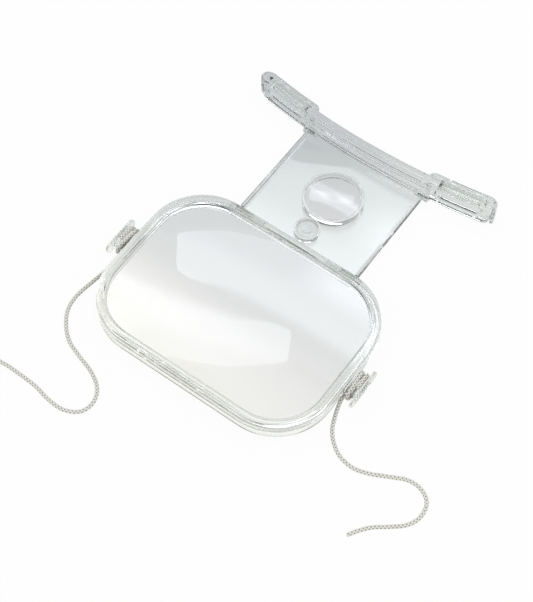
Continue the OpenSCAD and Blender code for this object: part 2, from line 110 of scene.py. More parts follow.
# The free cords' ways over the table
RIGHT_WAY = [
    (75, -13), (77, -19), (80, -26), (85, -32), (92, -36.5), (101, -38), (110, -35.5),
    (119, -31), (128, -27), (136, -27.5), (142, -32), (143.5, -40), (140.5, -47.5),
    (134, -53.5), (127, -59), (122, -65), (119, -70),
]
LEFT_WAY = [
    (-75, -13), (-76, -22), (-77.5, -32), (-78.5, -42), (-77, -51), (-72, -59),
    (-64, -66), (-54, -70), (-43, -73.5), (-34, -79), (-30, -87), (-32, -95),
    (-40, -99.5), (-50, -99.5), (-61, -97.5), (-72, -97), (-82, -97), (-91, -98),
]


# Shapes


def stacked(*columns):
    """Columns of coordinates as points."""
    return np.stack(columns, -1)


def joined(*runs):
    """Runs of points or values, one after another."""
    return np.concatenate(runs)


def lengths(rows):
    """The length of each row, kept as a column."""
    return np.linalg.norm(rows, axis=1, keepdims=True)


def to_row(points):
    """Millimetres round the lens to metres in the row: take the lens's place from Y, then scale."""
    return (np.asarray(points, float) + (0.0, MID, 0.0)) * MM


def skin(grid, around=False, along=False):
    """A grid of points and the four-sided faces between them. It may close in either direction."""
    rows, columns = grid.shape[:2]
    index = np.arange(rows * columns).reshape(rows, columns)
    if along:
        index = np.vstack([index, index[:1]])
    if around:
        index = np.hstack([index, index[:, :1]])
    faces = stacked(index[:-1, :-1], index[:-1, 1:], index[1:, 1:], index[1:, :-1])
    return grid.reshape(-1, 3), faces.reshape(-1, 4)


def eased(corners, radius, steps=4, hug=0.06):
    """A closed outline with rounded corners. Each corner becomes a parabola between two points
    that lie one radius from it along its two sides, and each side also gets a point just
    outside the curve, which keeps flat faces flat when they are shaded smooth."""
    corners = np.asarray(corners, float)
    radius = np.broadcast_to(np.asarray(radius, float), len(corners))[:, None]
    back = np.roll(corners, 1, 0) - corners
    ahead = np.roll(corners, -1, 0) - corners
    back_length = lengths(back)
    ahead_length = lengths(ahead)
    reach = np.minimum(radius, 0.42 * np.minimum(back_length, ahead_length))
    extra = np.minimum(hug, 0.2 * reach)
    back, ahead = back / back_length, ahead / ahead_length
    first, last = corners + back * reach, corners + ahead * reach
    s = np.linspace(0, 1, steps + 1)[None, :, None]
    bend = (1 - s) ** 2 * first[:, None] + 2 * s * (1 - s) * corners[:, None] + s**2 * last[:, None]
    before, after = (first + back * extra)[:, None], (last + ahead * extra)[:, None]
    outline = np.concatenate([before, bend, after], 1).reshape(-1, 2)
    return outline[np.linalg.norm(outline - np.roll(outline, 1, 0), axis=1) > 1e-6]


def oblong(step=1.2):
    """Stations round the lens: the centre that each one bends about, and its outward direction.
    Every corner is a quarter turn about its own centre, and the sides run between them."""
    centres, angles = [], []
    turn = int(math.ceil(CORNER_R * math.pi / 2 / step))
    corners = np.array([(1, 1), (-1, 1), (-1, -1), (1, -1)]) * (CORNER_X, CORNER_Y)
    for k, (here, there) in enumerate(zip(corners, np.roll(corners, -1, 0))):
        a = np.linspace(k * 90, k * 90 + 90, turn + 1)
        centres.append(np.repeat(here[None], turn + 1, 0))
        angles.append(a)
        count = int(np.linalg.norm(there - here) / step / 2)
        t = np.linspace(0, 1, count + 2)[1:-1, None]
        centres.append(here + (there - here) * t)
        angles.append(np.full(count, k * 90 + 90.0))
    angle = np.radians(joined(*angles))
    return joined(*centres), stacked(np.cos(angle), np.sin(angle))


def round_lens(profile):
    """A closed profile of insets and heights carried round the lens: each point lies on its
    station's direction, as far from the corner's centre as the corner radius less its inset."""
    centre, way = oblong()
    profile = np.asarray(profile, float)
    flat = centre[:, None] + way[:, None] * (CORNER_R - profile[None, :, :1])
    return at_height(flat, profile[None, :, 1])


def revolved(profile, place, axis="Z", turns=96, closed=False):
    """A profile of radii and distances turned about a line parallel to Z or X through place. A
    closed profile makes a ring, and an open one runs from the line back to it."""
    profile = np.asarray(profile, float)
    a = np.linspace(0, 2 * math.pi, turns, endpoint=False)[:, None]
    radius, along = profile[None, :, 0], profile[None, :, 1] + 0 * a
    if axis == "Z":
        grid = stacked(radius * np.cos(a), radius * np.sin(a), along)
    else:
        grid = stacked(along, radius * np.cos(a), radius * np.sin(a))
    return skin(grid + np.asarray(place, float), around=closed, along=True)


def rod(side, y, near, far, radius, ease, turns=48):
    """A rod on the axis of the hinge at y, on the side that its sign names, with eased rims."""
    outline = eased([(0, near), (radius, near), (radius, far), (0, far)], ease)
    outline = outline[(outline[:, 0] > 0) | (np.abs(outline[:, 1] - near) < 1e-9)]
    outline = joined([(0, near)], outline[outline[:, 0] > 1e-6], [(0, far)])
    return revolved(outline * (1, side), (0, y, HINGE_Z), "X", turns)


def rods(*shape):
    """The same rod on both sides."""
    return [rod(side, *shape) for side, _ in SIDES]


def at_height(flat, z):
    """Points of a plane, all at one height or each at its own."""
    tall = np.broadcast_to(np.asarray(z, float)[..., None], flat.shape[:-1] + (1,))
    return np.concatenate([flat, tall], -1)


def block(low, high):
    """The eight corners and six faces of an upright box, for joining only."""
    x, y, z = (np.array([low[k], high[k]], float) for k in range(3))
    grid = np.stack(np.meshgrid(x, y, z, indexing="ij"), -1).reshape(-1, 3)
    faces = [[0, 1, 3, 2], [4, 6, 7, 5], [0, 4, 5, 1], [2, 3, 7, 6], [0, 2, 6, 4], [1, 5, 7, 3]]
    return grid, np.array(faces)


def prism(outline, middle, near, far):
    """An outline in Y and Z drawn along X from near to far, each end a fan about its middle."""
    flat = np.array([outline * 0 + middle, outline, outline, outline * 0 + middle])
    x = np.array([near, near, far, far], float)[:, None, None]
    return skin(np.concatenate([x + 0 * flat[..., :1], flat], -1), around=True)


def rounded_outline(half_x, half_y, radius, steps=12):
    """A rectangle with quarter-circle corners: one quarter, and its three mirror images."""
    a = np.radians(np.linspace(0, 90, steps + 1))
    quarter = stacked(np.cos(a), np.sin(a)) * radius
    quarter = quarter + np.array([half_x - radius, half_y - radius])
    turned = quarter[::-1]
    return joined(quarter, turned * (-1, 1), quarter * (-1, -1), turned * (1, -1))


def run_along(path):
    """How far each point of a path lies along it."""
    return joined([0], np.cumsum(np.linalg.norm(np.diff(path, axis=0), axis=1)))


def evened(path, count):
    """A path drawn again with so many points, evenly apart along it."""
    run = run_along(path)
    even = np.linspace(0, run[-1], count)
    return stacked(*(np.interp(even, run, column) for column in path.T))


def spline(points, spacing):
    """A smooth curve through the points, as the part's source draws it, then evened out so that
    its points lie one spacing apart: between two points it blends the four nearest ones."""
    p = np.asarray(points, float)
    p = joined(p[:1], p, p[-1:])
    t = np.linspace(0, 1, 24, endpoint=False)[None, :, None]
    a, b, c, d = (p[k : len(p) - 3 + k, None] for k in range(4))
    curve = 2 * b + (c - a) * t + (2 * a - 5 * b + 4 * c - d) * t**2
    curve = 0.5 * (curve + (3 * b - a - 3 * c + d) * t**3)
    curve = joined(curve.reshape(-1, 3), p[-1:])
    return evened(curve, max(int(run_along(curve)[-1] / spacing), 8) + 1)


def wound_line(side, spacing=0.25):
    """The wound cord's centre: a lap of two straights and two half turns about the cleat's core,
    while it steps in from the flange to the wall at a steady rate."""
    half = CORE_L / 2
    start = 2.1 - half
    lap = 2 * CORE_L + 2 * math.pi * WIND_R
    length = lap - (start + half) + 2 * CORE_L + math.pi * WIND_R + CORD_D
    s = np.linspace(0, length, int(length / spacing) + 1)
    u = (s + start + half) % lap
    bend = math.pi * WIND_R
    turn = (u - CORE_L) / WIND_R
    back = (u - 2 * CORE_L - bend) / WIND_R
    parts = [u < CORE_L, u < CORE_L + bend, u < 2 * CORE_L + bend]
    y = np.select(
        parts,
        [u - half, half + WIND_R * np.sin(turn), half - (u - CORE_L - bend)],
        -half - WIND_R * np.sin(back),
    )
    z = np.select(
        parts, [WIND_R + 0 * u, WIND_R * np.cos(turn), -WIND_R + 0 * u], -WIND_R * np.cos(back)
    )
    last = s > length - CORD_D
    y = np.where(last, -half - (s - (length - CORD_D)), y)
    z = np.where(last, -WIND_R, z)
    drift = np.clip((s - CORD_D) / (length - 2 * CORD_D), 0, 1)
    x = LANE_OUT + (LANE_IN - LANE_OUT) * drift
    return stacked(side * x, y, CORE_Z + z)


def braid(path, hint, strands, pitch, depth, sides=32):
    """A cord with its braid in the surface. Two sets of strands cross at the same slope, each
    one a ridge with a cosine section, and at every crossing one of them lies on top. The radius
    at a point is the cord's own, less the depth times how far the point is below the ridges."""
    ahead = np.gradient(path, axis=0)
    ahead /= lengths(ahead)
    across = hint - (ahead @ hint)[:, None] * ahead
    across /= lengths(across)
    over = np.cross(ahead, across)
    run = run_along(path)
    u = np.arange(sides) / sides
    a = strands * u[None, :] + run[:, None] / pitch
    b = strands * u[None, :] - run[:, None] / pitch
    near_a, near_b = a - np.round(a), b - np.round(b)
    top = np.where((np.round(a) + np.round(b)) % 2 < 0.5, 1.0, 0.62)
    ridge = np.maximum(top * np.cos(math.pi * near_a), (1.62 - top) * np.cos(math.pi * near_b))
    end = np.minimum(run, run[-1] - run)[:, None]
    tip = np.sqrt(np.clip(1 - (1 - np.clip(end / (CORD_D * 0.35), 0, 1)) ** 2, 0, 1))
    radius = tip * (CORD_D / 2 - depth * (1 - ridge))
    turn = 2 * math.pi * u[None, :, None]
    ring = np.cos(turn) * across[:, None] + np.sin(turn) * over[:, None]
    return path[:, None] + radius[..., None] * ring, ridge


# Meshes


def make_piece(name, parts, sharp=34.0, values=None, weld=0.001):
    """One object at the origin from several grids. Its doubled points are merged, its faces are
    turned outwards, and faces that meet at more than the sharp angle keep a hard edge."""
    points = joined(*(p for p, _ in parts))
    offsets = np.cumsum([0] + [len(p) for p, _ in parts[:-1]])
    faces = [f + o for (_, f), o in zip(parts, offsets)]
    mesh = bpy.data.meshes.new(name)
    mesh.from_pydata(to_row(points).tolist(), [], [q for f in faces for q in f.tolist()])
    for key, value in (values or {}).items():
        layer = mesh.attributes.new(key, "FLOAT", "POINT")
        layer.data.foreach_set("value", np.asarray(value, np.float32).ravel())
    edit = bmesh.new()
    edit.from_mesh(mesh)
    if weld:
        bmesh.ops.remove_doubles(edit, verts=edit.verts, dist=weld * MM)
    bmesh.ops.recalc_face_normals(edit, faces=edit.faces)
    edit.to_mesh(mesh)
    edit.free()
    piece = bpy.data.objects.new(name, mesh)
    bpy.context.scene.collection.objects.link(piece)
    shade(piece, sharp)
    return piece


def shade(piece, sharp):
    """Smooth shading that stops at edges sharper than the angle in degrees."""
    piece.data.shade_smooth()
    piece.data.set_sharp_from_angle(angle=math.radians(sharp))


def combine(piece, parts, operation, sharp=34.0):
    """Joins the parts to the piece, or takes them away, one solid result."""
    tool = make_piece(piece.name + "_tool", parts)
    change = piece.modifiers.new("combine", "BOOLEAN")
    change.operation = operation
    change.solver = "EXACT"
    change.object = tool
    graph = bpy.context.evaluated_depsgraph_get()
    mesh = bpy.data.meshes.new_from_object(piece.evaluated_get(graph))
    piece.modifiers.clear()
    old = piece.data
    piece.data = mesh
    bpy.data.meshes.remove(old)
    # The tool's object goes with its mesh
    bpy.data.meshes.remove(tool.data)
    mesh.name = piece.name
    shade(piece, sharp)
    return piece


def dress(piece, finish, body, slot, *nodes):
    """Gives the piece its material and its body, and hides the CAD nodes that it stands for. The
    slot is not used.
    """
    piece.data.materials.clear()
    piece.data.materials.append(finish)
    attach(piece, body)
    if nodes:
        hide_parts(*nodes)
    return piece


# Materials


def linear(code):
    """An sRGB hex value as linear red, green and blue."""
    parts = [int(code[k : k + 2], 16) / 255 for k in (1, 3, 5)]
    return tuple(c / 12.92 if c <= 0.04045 else ((c + 0.055) / 1.055) ** 2.4 for c in parts)


def add(tree, kind, inputs=None, **settings):
    """Adds a shader node, sets its properties, and sets or links its inputs by name or number.
    A node given as an input is linked by its first output in use."""
    made = tree.nodes.new("ShaderNode" + kind)
    for key, value in settings.items():
        setattr(made, key, value)
    for key, value in (inputs or {}).items():
        socket = made.inputs[key]
        if isinstance(value, bpy.types.Node):
            value = next(output for output in value.outputs if output.enabled)
        if isinstance(value, bpy.types.NodeSocket):
            tree.links.new(value, socket)
        elif isinstance(value, (tuple, list)) and len(value) == 3 and socket.type == "RGBA":
            socket.default_value = (*value, 1)
        else:
            socket.default_value = value
    return made


def new_material(name):
    """A material and its node tree, emptied."""
    material = bpy.data.materials.get(name) or bpy.data.materials.new(name)
    material.use_nodes = True
    material.node_tree.nodes.clear()
    return material, material.node_tree


def clear_plastic(name, colour, roughness, ior, flow, flow_mm, scuff, scuff_mm):
    """A see-through moulded plastic. Broad noise as wide as flow_mm bends the surface as the
    melt's flow does, and fine noise scuff_mm wide adds the handling marks that dull highlights."""
    material, tree = new_material(name)
    place = add(tree, "TexCoord").outputs["Object"]
    wave = add(tree, "TexNoise", {"Vector": place, "Scale": 1000 / flow_mm, "Detail": 1.5})
    marks = add(
        tree, "TexNoise",
        {"Vector": place, "Scale": 1000 / scuff_mm, "Detail": 5.0, "Roughness": 0.6},
    )
    dull = add(
        tree, "MapRange",
        {"Value": marks, "From Min": 0.45, "From Max": 0.75,
         "To Min": roughness, "To Max": roughness + scuff},
    )
    broad = add(tree, "Bump", {"Height": wave, "Strength": 1.0, "Distance": flow * MM})
    shader = add(
        tree, "BsdfPrincipled",
        {"Base Color": linear(colour), "Transmission Weight": 1.0, "IOR": ior,
         "Roughness": dull, "Normal": broad},
    )
    add(tree, "OutputMaterial", {"Surface": shader})
    return material


def clear_acrylic():
    """Acrylic, injection moulded: glass-clear with a cool cast where it is thick, glossy edges
    that catch light in thin lines, and faint flow waves in the flat faces."""
    return clear_plastic("moulded_acrylic", "#FBFCFB", 0.0, 1.49, 0.0006, 18.0, 0.0, 4.0)


def sheet_acrylic():
    """Acrylic, moulded thin and flat: as clear as the rest, with a faint grey in its colour that
    paints in the shade on the floor under the plate."""
    return clear_plastic("moulded_sheet_acrylic", "#F7F9F8", 0.0, 1.49, 0.001, 20.0, 0.0, 5.0)


def lens_acrylic():
    """Acrylic, cast and polished: the clearest finish on the object, so the lamp's reflections
    keep straight edges."""
    return clear_plastic("polished_lens_acrylic", "#FBFBFC", 0.0, 1.49, 0.001, 30.0, 0.004, 5.0)


def soft_vinyl():
    """Plasticised PVC, moulded: clear but greyer and duller than acrylic, with a slightly
    greasy sheen that blurs what shows through it."""
    return clear_plastic("clear_soft_vinyl", "#F6F8F6", 0.0, 1.5, 0.0004, 6.0, 0.006, 2.0)


def frosted_acrylic():
    """Acrylic with an etched face: milky, so it scatters light and hides the floor behind it."""
    return clear_plastic("etched_acrylic", "#F8F9F8", 0.24, 1.49, 0.02, 1.2, 0.12, 0.7)


def steel_pin():
    """Steel wire, drawn and cut: cool grey with fine lengthwise drawing lines."""
    material, tree = new_material("drawn_steel_wire")
    place = add(tree, "TexCoord").outputs["Object"]
    stretched = add(tree, "Mapping", {"Vector": place, "Scale": (0.05, 1.0, 1.0)})
    lines = add(tree, "TexNoise", {"Vector": stretched, "Scale": 9000.0, "Detail": 2.0})
    dull = add(tree, "MapRange", {"Value": lines, "To Min": 0.12, "To Max": 0.26})
    colour = linear("#E2E4E6")
    shader = {"Base Color": colour, "Metallic": 1.0, "Roughness": dull}
    add(tree, "OutputMaterial", {"Surface": add(tree, "BsdfPrincipled", shader)})
    return material


def braided_cord(light, dark):
    """Polyester filament, braided: off-white strands with a soft sheen along their ridges, and
    painted shade in the hollows between them. The braid is drawn coarser than a real one, so that
    it shows."""
    material, tree = new_material("braided_polyester")
    ridge = add(tree, "Attribute", attribute_name="ridge").outputs["Fac"]
    place = add(tree, "TexCoord").outputs["Object"]
    fibre = add(tree, "TexNoise", {"Vector": place, "Scale": 4200.0, "Detail": 3.0})
    hollow_shade_mask = {"Value": ridge, "From Min": 0.3, "From Max": 0.68}
    hollow_shade_mask = add(tree, "MapRange", hollow_shade_mask, interpolation_type="SMOOTHSTEP")
    worn = {"Factor": fibre, "A": linear("#E9E6DA"), "B": tuple(light)}
    worn = add(tree, "Mix", worn, data_type="RGBA")
    # The dark colour is painted shade in the hollows between the strands
    colour = {"Factor": hollow_shade_mask, "A": tuple(dark), "B": worn}
    colour = add(tree, "Mix", colour, data_type="RGBA")
    hairs = add(tree, "Bump", {"Height": fibre, "Strength": 0.5, "Distance": 0.00005})
    shader = add(
        tree, "BsdfPrincipled",
        {"Base Color": colour, "Roughness": 0.62, "Sheen Weight": 0.3, "Sheen Roughness": 0.4,
         "Normal": hairs},
    )
    add(tree, "OutputMaterial", {"Surface": shader})
    return material


# Properties


class MagnifierSizes(bpy.types.PropertyGroup):
    """Sizes that a user would change, in millimetres."""

    face_radius: bpy.props.FloatProperty(
        name="Lens face radius", default=900.0, min=500.0,
        description="Radius of the main lens's upper face, in millimetres",
    )
    under_radius: bpy.props.FloatProperty(
        name="Lens underside radius", default=694.0, min=600.0,
        description="Radius of the main lens's lower face, in millimetres",
    )
    under_shift: bpy.props.FloatProperty(
        name="Lens underside shift", default=12.0, min=0.0, max=14.0,
        description="How far the lower face's lowest point lies to the left, in millimetres",
    )
    lens_apex: bpy.props.FloatProperty(
        name="Lens apex", default=11.0,
        description="Height of the top of the main lens, in millimetres",
    )
    edge_ease: bpy.props.FloatProperty(
        name="Edge rounding", default=0.35, min=0.05, max=0.6,
        description="Rounding of the moulded edges, in millimetres",
    )
    strands: bpy.props.IntProperty(
        name="Strands", default=3, min=2,
        description="Strands that run each way round the cord",
    )
    braid_pitch: bpy.props.FloatProperty(
        name="Braid pitch", default=2.0, min=0.8,
        description="Distance between two crossings along the cord, in millimetres",
    )


class MagnifierColours(bpy.types.PropertyGroup):
    """Colours that a user would change."""

    cord_light: bpy.props.FloatVectorProperty(
        name="Cord", default=linear("#FDFAF0"), min=0.0, max=1.0, subtype="COLOR",
        description="Colour of the cord's strands",
    )
    # Painted shade in the hollows between the cord's strands, not a colour of the cord itself
    cord_hollow_shade: bpy.props.FloatVectorProperty(
        name="Cord hollows", default=linear("#6A6C68"), min=0.0, max=1.0, subtype="COLOR",
        description="Colour between the cord's strands",
    )
    lamp_strength: bpy.props.FloatProperty(
        name="Lamp", default=6.4, min=0.0, description="Strength of the large lamp panel",
    )


def sizes():
    return bpy.context.scene.magnifier_sizes


def colours():
    return bpy.context.scene.magnifier_colours


# Pieces


def dome(points, lift=0.0):
    """Height of the main lens's upper face over points in its plane: its apex, less the square
    of the distance from the middle over twice the face radius."""
    return sizes().lens_apex + lift - (points**2).sum(-1) / (2 * sizes().face_radius)


def cord_shape(name, path, hint):
    """A braided cord along the path, with how high each point is on the strands kept with it."""
    s = sizes()
    grid, ridge = braid(path, np.array(hint, float), s.strands, s.braid_pitch, 0.16)
    first, last = (np.repeat(end[:, None], grid.shape[1], 1) for end in (path[:1], path[-1:]))
    grid = joined(first, grid, last)
    ridge = joined(ridge[:1], ridge, ridge[-1:])
    return make_piece(name, [skin(grid, around=True)], 80.0, {"ridge": ridge})


class MAGNIFIER_OT_frame(bpy.types.Operator):
    """Builds the moulded wall round the lens, its seat and hinge ears, and the bevelled bezel"""

    bl_idname = "magnifier.frame"
    bl_label = "Frame and bezel"

    def execute(self, context):
        ease = sizes().edge_ease
        # Insets from the wall's outside, and heights
        wall = [(0, 0), (0, WALL_H), (WALL_T, WALL_H), (WALL_T, SEAT_TOP), (SEAT_IN, SEAT_TOP)]
        wall += [(SEAT_IN, SEAT_LOW), (WALL_T, SEAT_LOW), (WALL_T, 0)]
        ring = round_lens(eased(wall, [ease, 0.15, 0.15, 0.15, ease, ease, 0.15, ease]))
        piece = make_piece("frame_wall", [skin(ring, around=True, along=True)])
        combine(piece, rods(HINGE_Y, PLATE_HALF, EAR_END, EAR_R, 0.5), "UNION")
        # The notch that the plate's barrels turn in
        a = np.radians(np.linspace(90, 150, 17))
        bend = stacked(HINGE_Y + NOTCH_R * np.cos(a), HINGE_Z + NOTCH_R * np.sin(a))
        notch = joined([(57, -1), (57, 5.2)], bend, [(46.2, 4.0), (46.2, -1)])
        combine(piece, [prism(notch, (51, 1), -NOTCH_X, NOTCH_X)], "DIFFERENCE")
        combine(piece, rods(HINGE_Y, NOTCH_X - 0.1, 44.15, BORE_R, 0.02), "DIFFERENCE")
        dress(piece, clear_acrylic(), "frame", "clear_acrylic", "lens_frame")

        # The bezel, whose underside is lifted to follow the lens
        low = 7.0
        lip = [(0.3, 8.42), (0.3, 11.2), (1.3, 12.2), (4.2, 12.0), (SEAT_IN, 10.4)]
        lip += [(SEAT_IN, low), (2.95, low), (2.95, 8.42)]
        outline = eased(lip, [0.1, 0.3, 0.3, 0.4, 0.3, 0.12, 0, 0])
        ring = round_lens(outline)
        under = np.abs(outline[:, 1] - low) < 0.2
        ring[:, under, 2] += dome(ring[..., :2], 0.06)[:, under] - low
        piece = make_piece("bezel_ring", [skin(ring, around=True, along=True)], weld=0)
        dress(piece, clear_acrylic(), "frame", "clear_acrylic", "bezel")
        return {"FINISHED"}


class MAGNIFIER_OT_lenses(bpy.types.Operator):
    """Builds the main lens and the small lens, both domed above and below"""

    bl_idname = "magnifier.lenses"
    bl_label = "Lenses"

    def execute(self, context):
        centre, way = oblong(2.0)
        rim = centre + way * (CORNER_R - LENS_IN)
        inner = centre + way * (CORNER_R - BELLY_IN)
        part = (np.linspace(0, 1, 34) ** 0.8)[:, None, None]
        top = part * (rim - way * 0.25)[None]
        under = part[::-1] * inner[None]
        off = ((under + np.array([sizes().under_shift, 0.0])) ** 2).sum(-1)
        sag = LENS_BELLY + off / (2 * sizes().under_radius)
        side = [(rim, dome(rim) - 0.2), (rim, 5.25), (rim - way * 0.25, 5.02), (inner, 5.02)]
        side = [at_height(flat, z)[None] for flat, z in side]
        grid = joined(at_height(top, dome(top)), *side, at_height(under, sag))
        piece = make_piece("reading_lens", [skin(grid, around=True)])
        dress(piece, lens_acrylic(), "frame", "lens_acrylic", "main_lens")

        r = np.linspace(0, 15.8, 40)
        upper = stacked(r, SMALL_TOP - r**2 / (2 * SMALL_TOP_R))
        r = r[::-1] * SMALL_LEDGE / 15.8
        lower = stacked(r, SMALL_LOW + r**2 / (2 * SMALL_LOW_R))
        side = [(SMALL_R, 7.65), (SMALL_R, 3.1), (15.9, 2.87), (14.75, 2.87)]
        shape = revolved(joined(upper, side, lower), (0, SMALL_Y, 0), turns=144)
        piece = make_piece("small_magnifier_lens", [shape])
        dress(piece, lens_acrylic(), "plate", "lens_acrylic", "small_lens")
        return {"FINISHED"}


def plate_outline():
    """The plate seen from above: a rectangle whose end is an arc about the bar's own centre."""
    x = np.linspace(PLATE_HALF - 0.6, -PLATE_HALF + 0.6, 60)
    end = stacked(x, ARC_Y - np.sqrt(PLATE_END_R**2 - x**2))
    y = np.linspace(HINGE_Y + 0.6, end[0, 1] - 0.6, 56)
    right = stacked(np.full_like(y, PLATE_HALF), y)
    left = right[::-1] * (-1, 1)
    near = stacked(-x, np.full_like(x, HINGE_Y))
    return joined(near, right, end, left)


class MAGNIFIER_OT_plate(bpy.types.Operator):
    """Builds the hinged plate with its lips and barrels, the collar and the frosted disc"""

    bl_idname = "magnifier.plate"
    bl_label = "Support plate"

    def execute(self, context):
        outline = plate_outline()
        middle = np.array([0.0, SMALL_Y])
        out = outline - middle
        way = out / lengths(out)
        hole = middle + way * HOLE_R
        # Each row says how far it lies from the hole to the outline, its inset and its height
        low, high, ease = PLATE_LOW, PLATE_TOP, 0.25
        a = np.linspace(0, math.pi / 2, 4)
        rows = [(1, ease * (1 - math.sin(t)), low + ease * (1 - math.cos(t))) for t in a]
        rows += [(1, ease * (1 - math.cos(t)), high - ease * (1 - math.sin(t))) for t in a]
        rows += [(1, ease * 1.3, high), (0.5, 0, high), (0, 0.3, high), (0, 0.1, high)]
        rows += [(0, 0, high - 0.1), (0, 0, low + 0.1), (0, 0.1, low), (0, 0.3, low)]
        rows += [(0.5, 0, low), (1, ease * 1.3, low)]
        grid = []
        for share, inset, z in rows:
            shift = -inset if share == 1 else inset
            grid.append(at_height(hole + (outline - hole) * share + way * shift, z))
        piece = make_piece("plate_sheet", [skin(np.array(grid), around=True, along=True)])

        # The lips along the plate's sides, which taper to nothing at both ends
        lip = [(LIP_IN, LIP_LOW), (LIP_IN, LIP_TOP), (LIP_OUT, LIP_TOP), (LIP_OUT, LIP_LOW)]
        section = eased(lip, 0.35)
        centre = np.array([38.9, 4.8])
        ends = [(56.0, 0.0), (56.0, 0.5), (56.1, 0.8), (56.4, 1.0)]
        ends += [(118.8, 1.0), (119.1, 0.8), (119.2, 0.5), (119.2, 0.0)]
        parts = []
        for side, _ in SIDES:
            rows = []
            for y, size in ends:
                flat = centre + (section - centre) * size
                rows.append(stacked(side * flat[:, 0], np.full(len(flat), y), flat[:, 1]))
            parts.append(skin(np.array(rows), around=True))
        ring = eased([(6.6, 3.8), (6.6, 7.0), (7.6, 7.0), (7.6, 3.8)], [0.1, 0.2, 0.2, 0.1])
        parts.append(revolved(ring, (0, DISC_Y, 0), closed=True))
        # The barrels, with a flat-bottomed groove between each two ridges and rounded ends
        x = np.linspace(BARREL_IN, PLATE_HALF, 189)
        groove = np.zeros_like(x)
        for k in range(1, RIDGES):
            near = np.abs(x - (PLATE_HALF - BARREL_L * k / RIDGES))
            groove = np.maximum(groove, np.clip((0.5 - near) / 0.2, 0, 1))
        ease = np.minimum(np.minimum(x - BARREL_IN, PLATE_HALF - x) / 0.3, 1)
        radius = BARREL_R - 0.3 * groove - 0.3 * (1 - np.sqrt(1 - (1 - ease) ** 2))
        barrel = stacked(np.r_[0, radius, 0], np.r_[x[0], x, x[-1]])
        for side, _ in SIDES:
            parts.append(revolved(barrel * (1, side), (0, HINGE_Y, HINGE_Z), "X", 48))
            parts.append(rod(side, LUG_Y, 34.0, PLATE_HALF, 2.0, 0.3))
        combine(piece, parts, "UNION")
        holes = rods(HINGE_Y, 29.7, 41.0, 0.85, 0.02) + rods(LUG_Y, 36.0, 41.0, BORE_R, 0.02)
        combine(piece, holes, "DIFFERENCE")
        dress(piece, sheet_acrylic(), "plate", "clear_acrylic", "support_plate")

        tube = [(14.9, PLATE_LOW), (14.9, 2.8), (16.2, 2.8), (16.2, COLLAR_TOP)]
        tube += [(COLLAR_R, COLLAR_TOP), (COLLAR_R, PLATE_LOW)]
        ring = eased(tube, [0.2, 0.1, 0.1, 0.25, 0.25, 0.2])
        shape = revolved(ring, (0, SMALL_Y, 0), turns=144, closed=True)
        piece = make_piece("collar_tube", [shape])
        dress(piece, clear_acrylic(), "plate", "clear_acrylic", "lens_collar")

        face = [(0, 4.02), (DISC_R, 4.02), (DISC_R, 6.6), (5.7, 6.6), (5.3, 6.2), (3.0, 6.2)]
        face += [(2.6, 6.6), (0, 6.6)]
        ring = eased(face, [0, 0.2, 0.2, 0.15, 0.15, 0.15, 0.15, 0])
        piece = make_piece("etched_disc", [revolved(ring, (0, DISC_Y, 0))])
        dress(piece, frosted_acrylic(), "plate", "frosted_acrylic", "frosted_disc")
        return {"FINISHED"}


def bar_front(x, radius=BAR_R):
    """Y of an arc about the bar's centre."""
    return ARC_Y - np.sqrt(radius**2 - x**2)


